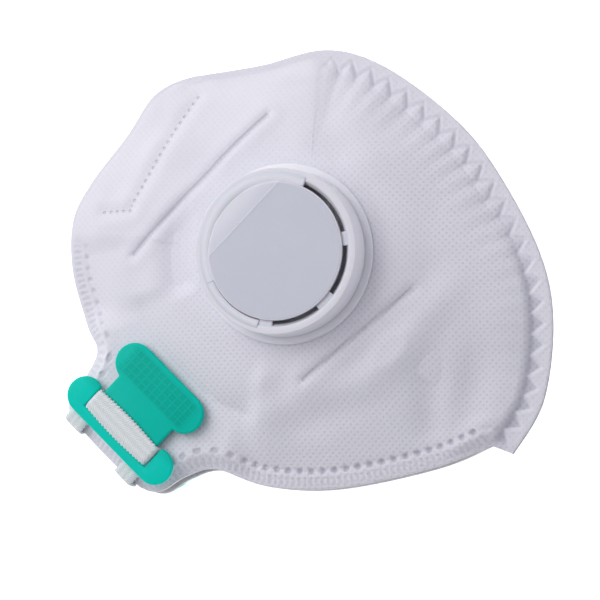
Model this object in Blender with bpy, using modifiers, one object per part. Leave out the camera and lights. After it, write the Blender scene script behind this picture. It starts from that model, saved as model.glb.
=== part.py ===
"""Disposable dust mask, folded flat at its vertical centre seam, with an exhalation valve in its right half.

The mask lies on its left half. +X points from the ears to the front seam, +Y from the chin to the nose,
and +Z up through the valve. The origin is on the surface the mask lies on, under the middle of its plan.
Lengths below are in millimetres, measured from the valve's axis and from the fold plane between the halves.
"""

import math

import bmesh
import bpy
import numpy as np
from mathutils import Vector
from mathutils.bvhtree import BVHTree

MM = 0.001

# Plan of one half: smooth stretches from nose to chin, along the jaw to the ear tab, and up the cheek.
# The points give its shape, and these two sizes its real reach from ear tab to seam and from chin to nose.
MASK_DEPTH, MASK_HEIGHT = 136.1, 144.9
SEAM_EDGE = [(16.6, 57.0), (31.2, 46.0), (46.5, 36.0), (54.6, 21.5), (58.4, -1.5),
             (57.3, -21.2), (49.6, -48.0), (38.6, -65.2), (20.6, -79.4), (4.0, -83.6)]
JAW_EDGE = [(1.5, -77.8), (-14.5, -70.2), (-38.0, -54.5), (-52.0, -39.4), (-58.8, -25.5),
            (-66.0, -20.1), (-74.6, -17.2), (-77.6, -9.0)]
CHEEK_EDGE = [(-77.6, 12.0), (-75.0, 19.3), (-66.5, 20.9), (-58.6, 23.4), (-55.1, 30.8), (-47.5, 44.3),
              (-37.5, 54.2), (-26.4, 58.0), (-10.0, 59.8), (3.0, 61.6), (16.6, 57.0)]
SEAM_SPOKES, JAW_SPOKES, CHEEK_SPOKES = 15, 9, 12  # mesh columns along the three stretches

# Fabric: heights over the fold plane, and the layers from the outside in.
CROWN = 13.0          # outer face of a half, over its flat middle
SEAM_RISE = 1.0       # innermost face over the fold plane, at the seam
OPENING_RISE = 3.4    # the same at the edge that meets the face
FLAT_MARGIN = 1.6     # the middle is flat to this far past the valve's flange
EDGE_FLAT = 4.0       # flat weld edge elsewhere
TAB_ANGLE = 24.0      # half angle of the flat tab, and 10 degrees more to fade it
DOME_POWER = 1.7      # how fast the fabric rises from its edge
LAYER_GAP = 0.3
COVER_WALL, SUPPORT_WALL, FILTER_WALL, LINING_WALL = 0.45, 0.6, 0.4, 0.35

# Seam band, where the layers of both halves are welded together.
BAND_WIDTH, BAND_WALL = 7.0, 1.2

# Exhalation valve, on the axis of the plan.
FIT = 0.3             # clearance between touching pieces
BORE_RADIUS, BORE_WALL = 13.2, 1.2
FLANGE_MARGIN, FLANGE_WALL = 2.0, 1.0  # the flange stands this far past the cover
SEAT_LIP = 1.7        # the sealing lip's height over the flange
BAR_WIDTH, BAR_HEIGHT = 1.6, 1.4
COVER_RADIUS, COVER_HEIGHT, COVER_SHELL = 23.4, 9.0, 1.2
RIM_WIDTH, LID_STEP = 4.0, 0.9
SLOT_WIDTH = 1.7
SLOT_SPANS = [(-201, -149), (-138, -98), (-82, -42), (-31, 21)]
CHORD_Y = 13.0        # the lid slopes down beyond this line
CHORD_SLOPE = 6.0     # in degrees
LEDGE_SPAN = 60.0     # the ledge that holds the flap spans this much of the bore, in degrees
FLAP_MARGIN, FLAP_WALL = 2.4, 0.5
RING_WIDTH, RING_WALL = 6.3, 1.2

# Nose clip and foam, along the straight top edge of each half, as points of the plan.
CLIP_LINE = [(-25.0, 51.6), (-9.5, 53.0), (6.0, 54.4)]
CLIP_WIDTH, CLIP_WALL = 4.6, 0.7
FOAM_LINE = [(-27.0, 48.5), (-11.5, 49.8), (4.0, 51.0)]
FOAM_WIDTH, FOAM_WALL = 9.0, 2.0

# Buckle on the ear tab: an inner plate with two lobes, a neck, and an outer bar with two hooks.
BUCKLE_Y = 1.3
PLATE_FROM_END, PLATE_LOBE = 24.8, 5.6
HOOK_FROM_END, HOOK_LOBE = 8.4, 5.3
NECK_HALF = 11.0
BUCKLE_WALL = 1.6
BUCKLE_MARGIN = 1.2   # the ear tab is flat to this far past the buckle's inner edge

# Elastic: a flat woven band over the buckle's neck, folded round the ear tab, then a free loop inside.
ELASTIC_WIDTH, ELASTIC_WALL = 6.4, 0.9
LEG_LENGTH = 10.6     # from the ear tab's end back inside the fold
LOOP_TOP = 6.9        # the loop's middle over the fold plane, under the valve
LOOP_RUN = 24.0       # it rises to that over this length, past the flat of the ear tab
LOOP_ROUTE = [(-66.6, 13.2), (-56.0, 13.4), (-46.0, 14.4), (-36.0, 16.4), (-26.0, 19.0), (-16.0, 20.8),
              (-5.0, 20.8), (6.0, 17.6), (13.6, 11.4), (16.8, 2.4), (14.2, -6.8), (7.0, -13.8),
              (-3.4, -17.2), (-15.0, -17.4), (-26.0, -15.4), (-36.0, -12.4), (-46.0, -9.8),
              (-56.0, -8.2), (-66.6, -8.0)]

HALVES = (("right", 1), ("left", -1))
HOLE_RADIUS = BORE_RADIUS + BORE_WALL + FIT
FLANGE_RADIUS = COVER_RADIUS + FLANGE_MARGIN
FLAT_RADIUS = FLANGE_RADIUS + FLAT_MARGIN
LID_RADIUS = COVER_RADIUS - RIM_WIDTH
FLAP_RADIUS = BORE_RADIUS + FLAP_MARGIN
RING_RADIUS = HOLE_RADIUS + RING_WIDTH
LEDGE_RADIUS = BORE_RADIUS + BORE_WALL / 2
LEDGE_Y = LEDGE_RADIUS * math.cos(math.radians(LEDGE_SPAN / 2))
CLIP_POCKET = CLIP_WALL + 2 * FIT
STACK = COVER_WALL + CLIP_POCKET + SUPPORT_WALL + FILTER_WALL + LINING_WALL + 2 * LAYER_GAP
TAB_TOP = OPENING_RISE + STACK
LEG_Z = OPENING_RISE - FIT - ELASTIC_WALL / 2
FLANGE_TOP = CROWN + FIT + FLANGE_WALL
SPIGOT_FOOT = CROWN - STACK - FIT - RING_WALL
LAYERS = (("outer_cover", COVER_WALL, 0.0),
          ("support_layer", SUPPORT_WALL, COVER_WALL + CLIP_POCKET),
          ("filter_layer", FILTER_WALL, COVER_WALL + CLIP_POCKET + SUPPORT_WALL + LAYER_GAP),
          ("inner_lining", LINING_WALL, STACK - LINING_WALL))


def smooth_path(points, per_span=16):
    """Points along a Catmull-Rom curve through these."""
    p = np.array([points[0], *points, points[-1]], float)
    t = np.linspace(0, 1, per_span, endpoint=False)[:, None]
    spans = [b + (c - a) / 2 * t + (a - 2.5 * b + 2 * c - d / 2) * t**2 + (1.5 * (b - c) + (d - a) / 2) * t**3
             for a, b, c, d in zip(p, p[1:], p[2:], p[3:])]
    return np.vstack([*spans, p[-1:]])


def evenly(path, count, ends=True):
    """This many points spaced evenly along a path, with or without its last point."""
    steps = np.r_[0, np.cumsum(np.linalg.norm(np.diff(path, axis=0), axis=1))]
    at = np.linspace(0, steps[-1], count, endpoint=ends)
    return np.column_stack([np.interp(at, steps, column) for column in path.T])


def smoothstep(x):
    """0 below 0, 1 above 1, and smooth between."""
    x = np.clip(x, 0, 1)
    return x * x * (3 - 2 * x)


def plan_scale():
    """How much the plan's points are stretched along X and Y to reach the mask's depth and height."""
    points = np.vstack([smooth_path(edge) for edge in (SEAM_EDGE, JAW_EDGE, CHEEK_EDGE)])
    return np.array([MASK_DEPTH, MASK_HEIGHT]) / np.ptp(points, axis=0)


def on_plan(points):
    """A smooth curve through these points of the plan, at the mask's real size."""
    return smooth_path(points) * PLAN_SCALE


def plan_outline():
    """One half's outline, and how far each of its points belongs to the seam, from 0 to 1."""
    stretches = [evenly(on_plan(SEAM_EDGE), SEAM_SPOKES),
                 evenly(on_plan(JAW_EDGE), JAW_SPOKES),
                 evenly(on_plan(CHEEK_EDGE), CHEEK_SPOKES, ends=False)]
    on_seam = np.repeat([1.0, 0.0, 0.0], (SEAM_SPOKES, JAW_SPOKES, CHEEK_SPOKES))
    return np.vstack(stretches), on_seam


PLAN_SCALE = plan_scale()
OUTLINE, ON_SEAM = plan_outline()
SEAM_X, TAB_END_X = OUTLINE[:, 0].max(), OUTLINE[:, 0].min()
PLATE_X, HOOK_X = TAB_END_X + PLATE_FROM_END, TAB_END_X + HOOK_FROM_END
LEG_END_X = TAB_END_X + LEG_LENGTH
FOLD_X = TAB_END_X - FIT - ELASTIC_WALL
TAB_FLAT = -(PLATE_X + PLATE_LOBE) - BUCKLE_MARGIN
CENTRE_X = (SEAM_X + FOLD_X) / 2
CENTRE_Y = (OUTLINE[:, 1].max() + OUTLINE[:, 1].min()) / 2


def world(x, y, z):
    """A point given from the valve's axis and the fold plane, in the part's own metres."""
    return Vector(((x - CENTRE_X) * MM, (y - CENTRE_Y) * MM, (z + CROWN) * MM))


# ---- helpers -----------------------------------------------------------------------------------------

def collection(name):
    made = bpy.data.collections.new(name)
    bpy.context.scene.collection.children.link(made)
    return made


def material(name, colour, roughness, metallic=0.0):
    made = bpy.data.materials.new(name)
    made.use_nodes = True
    shader = made.node_tree.nodes["Principled BSDF"]
    shader.inputs["Base Color"].default_value = (*colour, 1)
    shader.inputs["Roughness"].default_value = roughness
    shader.inputs["Metallic"].default_value = metallic
    return made


def object_of(name, bm, where, finish=None):
    """A new object that holds this bmesh, in the given collection."""
    mesh = bpy.data.meshes.new(name)
    bm.to_mesh(mesh)
    bm.free()
    mesh.shade_smooth()
    mesh.set_sharp_from_angle(angle=math.radians(35))
    made = bpy.data.objects.new(name, mesh)
    if finish:
        mesh.materials.append(finish)
    where.objects.link(made)
    return made


def cutter_of(name, bm):
    made = object_of(name, bm, CUTTERS)
    made.hide_render = True
    made.display_type = "WIRE"
    return made


def boolean(target, operation, other):
    modifier = target.modifiers.new(other.name, "BOOLEAN")
    modifier.operation = operation
    modifier.solver = "EXACT"
    modifier.object = other


def prism(points, along, start, end):
    """A solid whose outline has these two coordinates, extruded along the third axis from start to end."""
    bm = bmesh.new()
    corners = [bm.verts.new(world(*np.insert(point, along, start))) for point in points]
    face = bm.faces.new(corners)
    grown = bmesh.ops.extrude_face_region(bm, geom=[face])
    moved = [part for part in grown["geom"] if isinstance(part, bmesh.types.BMVert)]
    step = Vector((0, 0, 0))
    step[along] = (end - start) * MM
    bmesh.ops.translate(bm, vec=step, verts=moved)
    bmesh.ops.recalc_face_normals(bm, faces=bm.faces)
    return bm


def block(low, high):
    """A box between two corners, made from a cube."""
    bm = bmesh.new()
    a, b = world(*low), world(*high)
    bmesh.ops.create_cube(bm, size=1)
    bmesh.ops.scale(bm, vec=b - a, verts=bm.verts)
    bmesh.ops.translate(bm, vec=(a + b) / 2, verts=bm.verts)
    return bm


def arc(x, y, radius, first, last, steps):
    angles = np.radians(np.linspace(first, last, steps))
    return [(x + radius * math.cos(a), y + radius * math.sin(a)) for a in angles]


def turned(name, profile, finish, steps=40, closed=True):
    """A profile of (radius, height over the fold plane), running down its outer side, turned by a Screw."""
    bm = bmesh.new()
    points = [bm.verts.new((radius * MM, 0, z * MM)) for radius, z in profile]
    pairs = list(zip(points, points[1:]))
    if closed:
        pairs.append((points[-1], points[0]))
    for pair in pairs:
        bm.edges.new(pair)
    made = object_of(name, bm, PARTS, finish)
    made.location = world(0, 0, 0)
    screw = made.modifiers.new("Turn", "SCREW")
    screw.steps = screw.render_steps = steps
    screw.use_merge_vertices = True
    screw.merge_threshold = 0.00001
    screw.use_smooth_shade = True
    return made


# ---- fabric ------------------------------------------------------------------------------------------

def rise_at(outline_radius, angle, radius, edge_height):
    """The outer face's height: flat at the edge, a dome, and flat again in the middle."""
    off_tab = np.abs((np.degrees(angle) % 360) - 180)
    tab = 1 - smoothstep((off_tab - TAB_ANGLE) / 10)
    foot = (outline_radius - EDGE_FLAT) * (1 - tab) + TAB_FLAT * tab
    inward = np.clip((foot - radius) / (foot - FLAT_RADIUS), 0, 1)
    return edge_height + (CROWN - edge_height) * (1 - (1 - inward) ** DOME_POWER), foot


def half_surface(with_hole, side, offset):
    """The open surface of one layer: rings of points from the hole, or the middle, out to the outline."""
    reach = np.linalg.norm(OUTLINE, axis=1)
    angle = np.arctan2(OUTLINE[:, 1], OUTLINE[:, 0])
    edge = STACK + OPENING_RISE + (SEAM_RISE - OPENING_RISE) * ON_SEAM
    foot = rise_at(reach, angle, reach, edge)[1]
    middle = (foot + FLAT_RADIUS) / 2
    radii = [np.full_like(reach, HOLE_RADIUS), np.full_like(reach, FLAT_RADIUS), middle, foot, reach]
    bm = bmesh.new()
    rings = []
    for radius in radii:
        height = rise_at(reach, angle, radius, edge)[0] - offset
        points = zip(radius * np.cos(angle), radius * np.sin(angle), side * height)
        rings.append([bm.verts.new(world(*point)) for point in points])
    for inner, outer in zip(rings, rings[1:]):
        for i in range(len(inner)):
            j = (i + 1) % len(inner)
            bm.faces.new((inner[i], outer[i], outer[j], inner[j]))
    if not with_hole:
        bm.faces.new(rings[0])
    bmesh.ops.triangulate(bm, faces=bm.faces, quad_method="SHORT_EDGE")
    bmesh.ops.recalc_face_normals(bm, faces=bm.faces)
    top = max(bm.faces, key=lambda face: abs(face.normal.z))
    if top.normal.z * side < 0:
        bmesh.ops.reverse_faces(bm, faces=bm.faces)
    return bm


def layers(side_name, side, finishes):
    """The four fabric layers of one half; only the right half has a hole, for the valve."""
    for name, wall, offset in LAYERS:
        bm = half_surface(side > 0, side, offset)
        made = object_of(f"{name}_{side_name}", bm, PARTS, finishes[name])
        thickness = made.modifiers.new("Wall", "SOLIDIFY")
        thickness.thickness = wall * MM
        thickness.offset = -1
        thickness.use_even_offset = False


def strip_under(name, line, width, wall, depth, side, finish):
    """A flat strip along a line in plan, this deep under the outer face of its half and following it."""
    surface = half_surface(False, side, depth)
    tree = BVHTree.FromBMesh(surface)
    surface.free()
    path = evenly(on_plan(line), 7)
    ahead = np.gradient(path, axis=0)
    ahead /= np.linalg.norm(ahead, axis=1)[:, None]
    across = np.column_stack([-ahead[:, 1], ahead[:, 0]]) * width / 2
    bm = bmesh.new()
    rows = []
    for edge in (path - across, path, path + across):
        row = []
        for x, y in edge:
            hit = tree.ray_cast(world(x, y, side * 2 * CROWN), Vector((0, 0, -side)))[0]
            row.append(bm.verts.new(hit))
        rows.append(row)
    for low, high in zip(rows, rows[1:]):
        for i in range(len(low) - 1):
            corners = (low[i], low[i + 1], high[i + 1], high[i])
            bm.faces.new(corners if side > 0 else corners[::-1])
    made = object_of(name, bm, PARTS, finish)
    thickness = made.modifiers.new("Wall", "SOLIDIFY")
    thickness.thickness = wall * MM
    thickness.offset = -1
    return made


def seam_band(finish):
    """The welded band in the fold plane, from the outline inwards along the whole seam."""
    outer = evenly(on_plan(SEAM_EDGE), 2 * SEAM_SPOKES)
    ahead = np.gradient(outer, axis=0)
    ahead /= np.linalg.norm(ahead, axis=1)[:, None]
    inner = outer + np.column_stack([ahead[:, 1], -ahead[:, 0]]) * BAND_WIDTH
    bm = bmesh.new()
    rows = [[bm.verts.new(world(x, y, BAND_WALL / 2)) for x, y in edge] for edge in (outer, inner)]
    for i in range(len(outer) - 1):
        bm.faces.new((rows[0][i], rows[1][i], rows[1][i + 1], rows[0][i + 1]))
    if sum(face.normal.z for face in bm.faces) < 0:
        bmesh.ops.reverse_faces(bm, faces=bm.faces)
    made = object_of("seam_band", bm, PARTS, finish)
    thickness = made.modifiers.new("Wall", "SOLIDIFY")
    thickness.thickness = BAND_WALL * MM
    thickness.offset = -1


# ---- valve -------------------------------------------------------------------------------------------

def valve_seat(finish):
    """The flanged base: a bore through the fabric, a sealing lip, a cross of bars and the flap's ledge."""
    spigot = HOLE_RADIUS - FIT
    lip = FLANGE_TOP + SEAT_LIP
    profile = [(FLANGE_RADIUS, FLANGE_TOP), (FLANGE_RADIUS, CROWN + FIT), (spigot, CROWN + FIT),
               (spigot, SPIGOT_FOOT), (BORE_RADIUS, SPIGOT_FOOT), (BORE_RADIUS, lip),
               (spigot, lip), (spigot, FLANGE_TOP)]
    seat = turned("valve_seat", profile, finish)
    reach = LEDGE_RADIUS
    low, high = FLANGE_TOP - FLANGE_WALL, FLANGE_TOP - FLANGE_WALL + BAR_HEIGHT
    half = BAR_WIDTH / 2
    boolean(seat, "UNION", cutter_of("bar_across", block((-reach, -half, low), (reach, half, high))))
    boolean(seat, "UNION", cutter_of("bar_along", block((-half, -reach, low), (half, reach, high))))
    ledge = arc(0, 0, reach, 90 - LEDGE_SPAN / 2, 90 + LEDGE_SPAN / 2, 9)
    boolean(seat, "UNION", cutter_of("flap_ledge", prism(ledge, 2, low, lip)))


def valve_cover(finish):
    """The round cap: a raised lid, a rounded rim, four vent slots and the lid's slope beyond its chord."""
    rim = FLANGE_TOP + COVER_HEIGHT
    lid = rim + LID_STEP
    inside = COVER_RADIUS - COVER_SHELL
    profile = [(0, lid), (LID_RADIUS - 0.6, lid), (LID_RADIUS, lid - 0.4), (LID_RADIUS, rim - 0.1),
               (COVER_RADIUS - 1.4, rim - 0.1), (COVER_RADIUS - 0.4, rim - 0.6), (COVER_RADIUS, rim - 1.5),
               (COVER_RADIUS, FLANGE_TOP + FIT), (inside, FLANGE_TOP + FIT), (inside, rim - COVER_SHELL - 0.6),
               (inside - 0.8, rim - COVER_SHELL), (LID_RADIUS - COVER_SHELL, rim - COVER_SHELL),
               (LID_RADIUS - COVER_SHELL - 0.4, lid - COVER_SHELL), (0, lid - COVER_SHELL)]
    cover = turned("valve_cover", profile, finish, steps=48, closed=False)
    inner = LID_RADIUS + 0.1
    for number, (first, last) in enumerate(SLOT_SPANS):
        outline = arc(0, 0, inner, first, last, 9) + arc(0, 0, inner + SLOT_WIDTH, last, first, 9)
        boolean(cover, "DIFFERENCE", cutter_of(f"slot_{number}", prism(outline, 2, rim - 3, lid + 2)))
    drop = math.tan(math.radians(CHORD_SLOPE))
    wedge = [(CHORD_Y, lid), (2 * CHORD_Y, lid - CHORD_Y * drop), (2 * CHORD_Y, lid + 1), (CHORD_Y, lid + 1)]
    boolean(cover, "DIFFERENCE", cutter_of("lid_slope", prism(wedge, 0, -COVER_RADIUS, COVER_RADIUS)))


def valve_flap(finish):
    """The rubber flap on the seat's lip, cut straight at its hinge line, with its origin on that line."""
    low = FLANGE_TOP + SEAT_LIP + FIT
    cut = math.degrees(math.asin(LEDGE_Y / FLAP_RADIUS))
    outline = arc(0, 0, FLAP_RADIUS, 180 - cut, 360 + cut, 37)
    flap = object_of("valve_flap", prism(outline, 2, low, low + FLAP_WALL), PARTS, finish)
    pivot = world(0, LEDGE_Y - FLAP_WALL / 2, low + FLAP_WALL / 2)
    flap.data.transform(flap.matrix_world.Translation(-pivot))
    flap.location = pivot


def retaining_ring(finish):
    """The ring inside the mask that holds the fabric against the flange."""
    inner = HOLE_RADIUS
    top = SPIGOT_FOOT + RING_WALL
    profile = [(RING_RADIUS, top), (RING_RADIUS, SPIGOT_FOOT), (inner, SPIGOT_FOOT), (inner, top)]
    turned("valve_retaining_ring", profile, finish)


# ---- buckles and elastic -----------------------------------------------------------------------------

def buckle_outline():
    """Half of the buckle, from its inner edge round the lobe, the slit and the hook to its outer edge."""
    slit = ELASTIC_WALL + 2 * FIT
    hook_y = NECK_HALF + slit + 2.0
    hook_cut = math.degrees(math.asin(2.0 / HOOK_LOBE))
    lobe_cut = math.degrees(math.asin(0.6 / PLATE_LOBE))
    half = arc(PLATE_X, NECK_HALF - 0.6, PLATE_LOBE, 0, 180 - lobe_cut, 13)
    half += [(HOOK_X + HOOK_LOBE, NECK_HALF), (HOOK_X - ELASTIC_WIDTH / 2 + 1.0, NECK_HALF)]
    half += [(HOOK_X - ELASTIC_WIDTH / 2 + 1.0, NECK_HALF + slit)]
    half += arc(HOOK_X, hook_y, HOOK_LOBE, -hook_cut, 180, 15)
    mirrored = [(x, -y) for x, y in reversed(half)]
    return [(x, y + BUCKLE_Y) for x, y in half + mirrored]


def buckle(name, side, finish):
    """The flat buckle, raised off the ear tab by a foot under its inner plate, where it is welded on."""
    foot = TAB_TOP + FIT
    low = foot + ELASTIC_WALL + FIT
    top = low + BUCKLE_WALL
    made = object_of(name, prism(buckle_outline(), 2, side * low, side * top), PARTS, finish)
    reach, half = PLATE_LOBE - 1.0, NECK_HALF - 1.0
    heights = sorted((side * foot, side * (low + BUCKLE_WALL / 2)))
    pad = block((PLATE_X - reach, BUCKLE_Y - half, heights[0]), (PLATE_X + reach, BUCKLE_Y + half, heights[1]))
    boolean(made, "UNION", cutter_of(f"{name}_foot", pad))


def elastic_band(name, side, finish):
    """The held stretch: over the neck, down through both slits, and round the ear tab's end in two folds."""
    middle = HOOK_X + 1.2
    left, right = middle - ELASTIC_WIDTH / 2, middle + ELASTIC_WIDTH / 2
    low = TAB_TOP + FIT
    under = low + ELASTIC_WALL
    over = under + FIT + BUCKLE_WALL + FIT
    top = over + ELASTIC_WALL
    reach = NECK_HALF + FIT
    ends = (BUCKLE_Y - reach - ELASTIC_WALL, BUCKLE_Y - reach, BUCKLE_Y + reach, BUCKLE_Y + reach + ELASTIC_WALL)
    bridge = [(ends[0], low), (ends[1], low), (ends[1], over), (ends[2], over), (ends[2], low),
              (ends[3], low), (ends[3], top), (ends[0], top)]
    made = object_of(name, prism([(y, side * z) for y, z in bridge], 0, left, right), PARTS, finish)
    foot, head = LEG_Z - ELASTIC_WALL / 2, LEG_Z + ELASTIC_WALL / 2
    hook = [(right, under), (FOLD_X, under), (FOLD_X, foot), (LEG_END_X, foot), (LEG_END_X, head),
            (FOLD_X + ELASTIC_WALL, head), (FOLD_X + ELASTIC_WALL, low), (right, low)]
    for number, y in enumerate((BUCKLE_Y + NECK_HALF + 0.9, BUCKLE_Y - NECK_HALF + 1.7)):
        leg = prism([(x, side * z) for x, z in hook], 1, y - ELASTIC_WIDTH / 2, y + ELASTIC_WIDTH / 2)
        boolean(made, "UNION", cutter_of(f"{name}_leg_{number}", leg))


def loop_path(side):
    """The free loop's middle line: its route in plan, rising from the ear tab to its height under the valve."""
    plan = evenly(smooth_path(LOOP_ROUTE), 52)
    rise = smoothstep((plan[:, 0] + TAB_FLAT - 2.0) / LOOP_RUN)
    return np.column_stack([plan, side * (LEG_Z + (LOOP_TOP - LEG_Z) * rise)])


def elastic_loop(name, side, finish):
    """The free loop inside the fold: a flat section carried along its middle line, with closed ends."""
    path = loop_path(side)
    ahead = np.gradient(path[:, :2], axis=0)
    ahead /= np.linalg.norm(ahead, axis=1)[:, None]
    across = np.column_stack([-ahead[:, 1], ahead[:, 0]]) * ELASTIC_WIDTH / 2
    half = ELASTIC_WALL / 2
    bm = bmesh.new()
    sections = []
    for (x, y, z), (dx, dy) in zip(path, across):
        corners = [(x + dx, y + dy, z + half), (x - dx, y - dy, z + half),
                   (x - dx, y - dy, z - half), (x + dx, y + dy, z - half)]
        sections.append([bm.verts.new(world(*corner)) for corner in corners])
    for first, second in zip(sections, sections[1:]):
        for i in range(4):
            j = (i + 1) % 4
            bm.faces.new((first[i], first[j], second[j], second[i]))
    bm.faces.new(sections[0])
    bm.faces.new(sections[-1])
    bmesh.ops.recalc_face_normals(bm, faces=bm.faces)
    object_of(name, bm, PARTS, finish)


# ---- the whole mask ----------------------------------------------------------------------------------

for old in list(bpy.data.objects):
    bpy.data.objects.remove(old, do_unlink=True)

PARTS = collection("dust_mask")
CUTTERS = collection("cutters")
CUTTERS.hide_render = True

WHITE_FLEECE = material("white_spunbond", (0.80, 0.79, 0.85), 0.85)
FABRICS = {"outer_cover": WHITE_FLEECE,
           "support_layer": material("support_wadding", (0.86, 0.86, 0.85), 0.9),
           "filter_layer": material("meltblown_filter", (0.90, 0.90, 0.90), 0.8),
           "inner_lining": material("lining_spunbond", (0.83, 0.83, 0.86), 0.85)}
WHITE_PLASTIC = material("white_polypropylene", (0.80, 0.80, 0.86), 0.4)
CLEAR_RUBBER = material("flap_rubber", (0.75, 0.72, 0.62), 0.5)
GREEN_PLASTIC = material("green_polypropylene", (0.0, 0.40, 0.30), 0.35)
WOVEN = material("white_elastic", (0.82, 0.85, 0.86), 0.9)
CLIP_METAL = material("clip_aluminium", (0.75, 0.75, 0.76), 0.4, metallic=1.0)
FOAM = material("nose_foam", (0.55, 0.57, 0.60), 0.95)

seam_band(WHITE_FLEECE)
valve_seat(WHITE_PLASTIC)
valve_cover(WHITE_PLASTIC)
valve_flap(CLEAR_RUBBER)
retaining_ring(WHITE_PLASTIC)
for side_name, side in HALVES:
    layers(side_name, side, FABRICS)
    strip_under(f"nose_clip_{side_name}", CLIP_LINE, CLIP_WIDTH, CLIP_WALL, COVER_WALL + FIT, side, CLIP_METAL)
    strip_under(f"nose_foam_{side_name}", FOAM_LINE, FOAM_WIDTH, FOAM_WALL, STACK + FIT, side, FOAM)
    buckle(f"buckle_{side_name}", side, GREEN_PLASTIC)
    elastic_band(f"elastic_band_{side_name}", side, WOVEN)
    elastic_loop(f"elastic_loop_{side_name}", side, WOVEN)
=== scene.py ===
"""The looks of a fold-flat dust mask: fleece halves with welded edges, a valve, buckles and elastic.

Shapes are worked out in millimetres from the valve's axis and the fold plane between the two halves:
x runs to the front seam, y to the nose, z up through the valve. AXIS places that frame in the model.
"""

import math

import bmesh
import bpy
import numpy as np
from mathutils import Matrix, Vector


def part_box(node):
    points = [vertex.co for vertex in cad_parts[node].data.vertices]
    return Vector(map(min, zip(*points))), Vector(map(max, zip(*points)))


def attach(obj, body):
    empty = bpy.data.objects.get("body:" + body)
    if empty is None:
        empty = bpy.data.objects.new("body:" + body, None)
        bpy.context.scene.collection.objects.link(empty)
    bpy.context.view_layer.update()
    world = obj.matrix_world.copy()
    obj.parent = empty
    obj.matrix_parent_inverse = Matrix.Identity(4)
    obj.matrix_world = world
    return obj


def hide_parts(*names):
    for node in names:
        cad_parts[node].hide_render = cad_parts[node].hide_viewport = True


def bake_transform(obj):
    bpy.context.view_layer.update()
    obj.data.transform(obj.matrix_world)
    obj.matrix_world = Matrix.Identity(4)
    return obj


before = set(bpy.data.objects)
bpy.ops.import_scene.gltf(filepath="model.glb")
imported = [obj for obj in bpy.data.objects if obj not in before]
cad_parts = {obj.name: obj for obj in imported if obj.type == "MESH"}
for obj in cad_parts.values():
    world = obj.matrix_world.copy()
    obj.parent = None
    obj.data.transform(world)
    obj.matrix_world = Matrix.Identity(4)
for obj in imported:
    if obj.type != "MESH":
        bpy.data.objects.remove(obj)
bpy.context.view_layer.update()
MM = 0.001


def corners_of(node):
    """A node's lowest and highest corners, in millimetres in the model's frame."""
    low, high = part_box(node)
    return np.array(low) / MM, np.array(high) / MM


SEAT, COVER, BAND = corners_of("valve_seat"), corners_of("valve_cover"), corners_of("seam_band")
PLAN = corners_of("outer_cover_right")
AXIS = np.array([*(SEAT[0] + SEAT[1])[:2] / 2, (BAND[0] + BAND[1])[2] / 2])
CROWN = PLAN[1][2] - AXIS[2]                       # a half's flat middle over the fold plane
FLANGE_RADIUS = (SEAT[1] - SEAT[0])[0] / 2
COVER_RADIUS = (COVER[1] - COVER[0])[0] / 2
LID_TOP = COVER[1][2] - AXIS[2]
HALVES = (("right", 1), ("left", -1))

# The plan of one half, as in the model: nose to chin along the seam, the jaw, and the cheek.
SEAM_EDGE = [(15.2, 58.6), (20.6, 54.3), (31.2, 46.2), (46.5, 36.0), (54.6, 21.5), (58.4, -1.5),
             (57.3, -21.2), (49.6, -48.0), (38.6, -65.2), (20.6, -79.4), (4.0, -83.6)]
FACE_EDGE = [(1.5, -77.8), (-14.5, -70.2), (-37.7, -54.1), (-51.5, -38.9), (-58.3, -25.0),
             (-66.0, -20.1), (-74.6, -17.2), (-77.6, -9.0), (-77.6, 12.0), (-75.0, 19.3), (-66.5, 20.9),
             (-58.8, 23.8), (-55.8, 31.4), (-48.3, 45.1), (-38.4, 55.0), (-27.2, 58.8), (-10.2, 60.6),
             (1.8, 62.9), (9.2, 61.9), (15.2, 58.6)]

# Buckle and elastic
BUCKLE_Y, PLATE_X, HOOK_X = 1.3, -52.72, -69.12
PLATE_LOBE, HOOK_LOBE, NECK_HALF = 5.6, 5.3, 11.0
ELASTIC_WIDTH, ELASTIC_WALL, GAP, BUCKLE_WALL = 6.4, 0.9, 0.3, 1.6
FOLD_X, LEG_Z, LEG_END_X, LOOP_TOP, LOOP_RUN = -78.72, 2.65, -66.92, 6.9, 24.0

# Fabric
FLANGE_HALF = 0.6          # half the welded seam band's thickness
EDGE_TOP = 3.4             # outer face over the fold plane at the edge that meets the face
TAB_TOP = 7.1              # the same on the ear tab, under the buckle
EDGE_THICKNESS = 1.3
HINGE_REACH = 2.0          # strips laid in the cloth keep at least this far over the fold plane
SEAM_WELD, FACE_WELD = 7.0, 5.0
FLAT_RADIUS = 27.0
TAB_FLAT = 46.0
HOLE_RADIUS = 14.7
CLIP_LINE = [(-25.0, 51.6), (-9.5, 53.0), (6.0, 54.4)]
FOAM_LINE = [(-27.0, 48.5), (-11.5, 49.8), (4.0, 51.0)]
CLIP_SIZE, FOAM_SIZE = (4.6, 0.5), (9.0, 2.0)        # width and thickness
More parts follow.
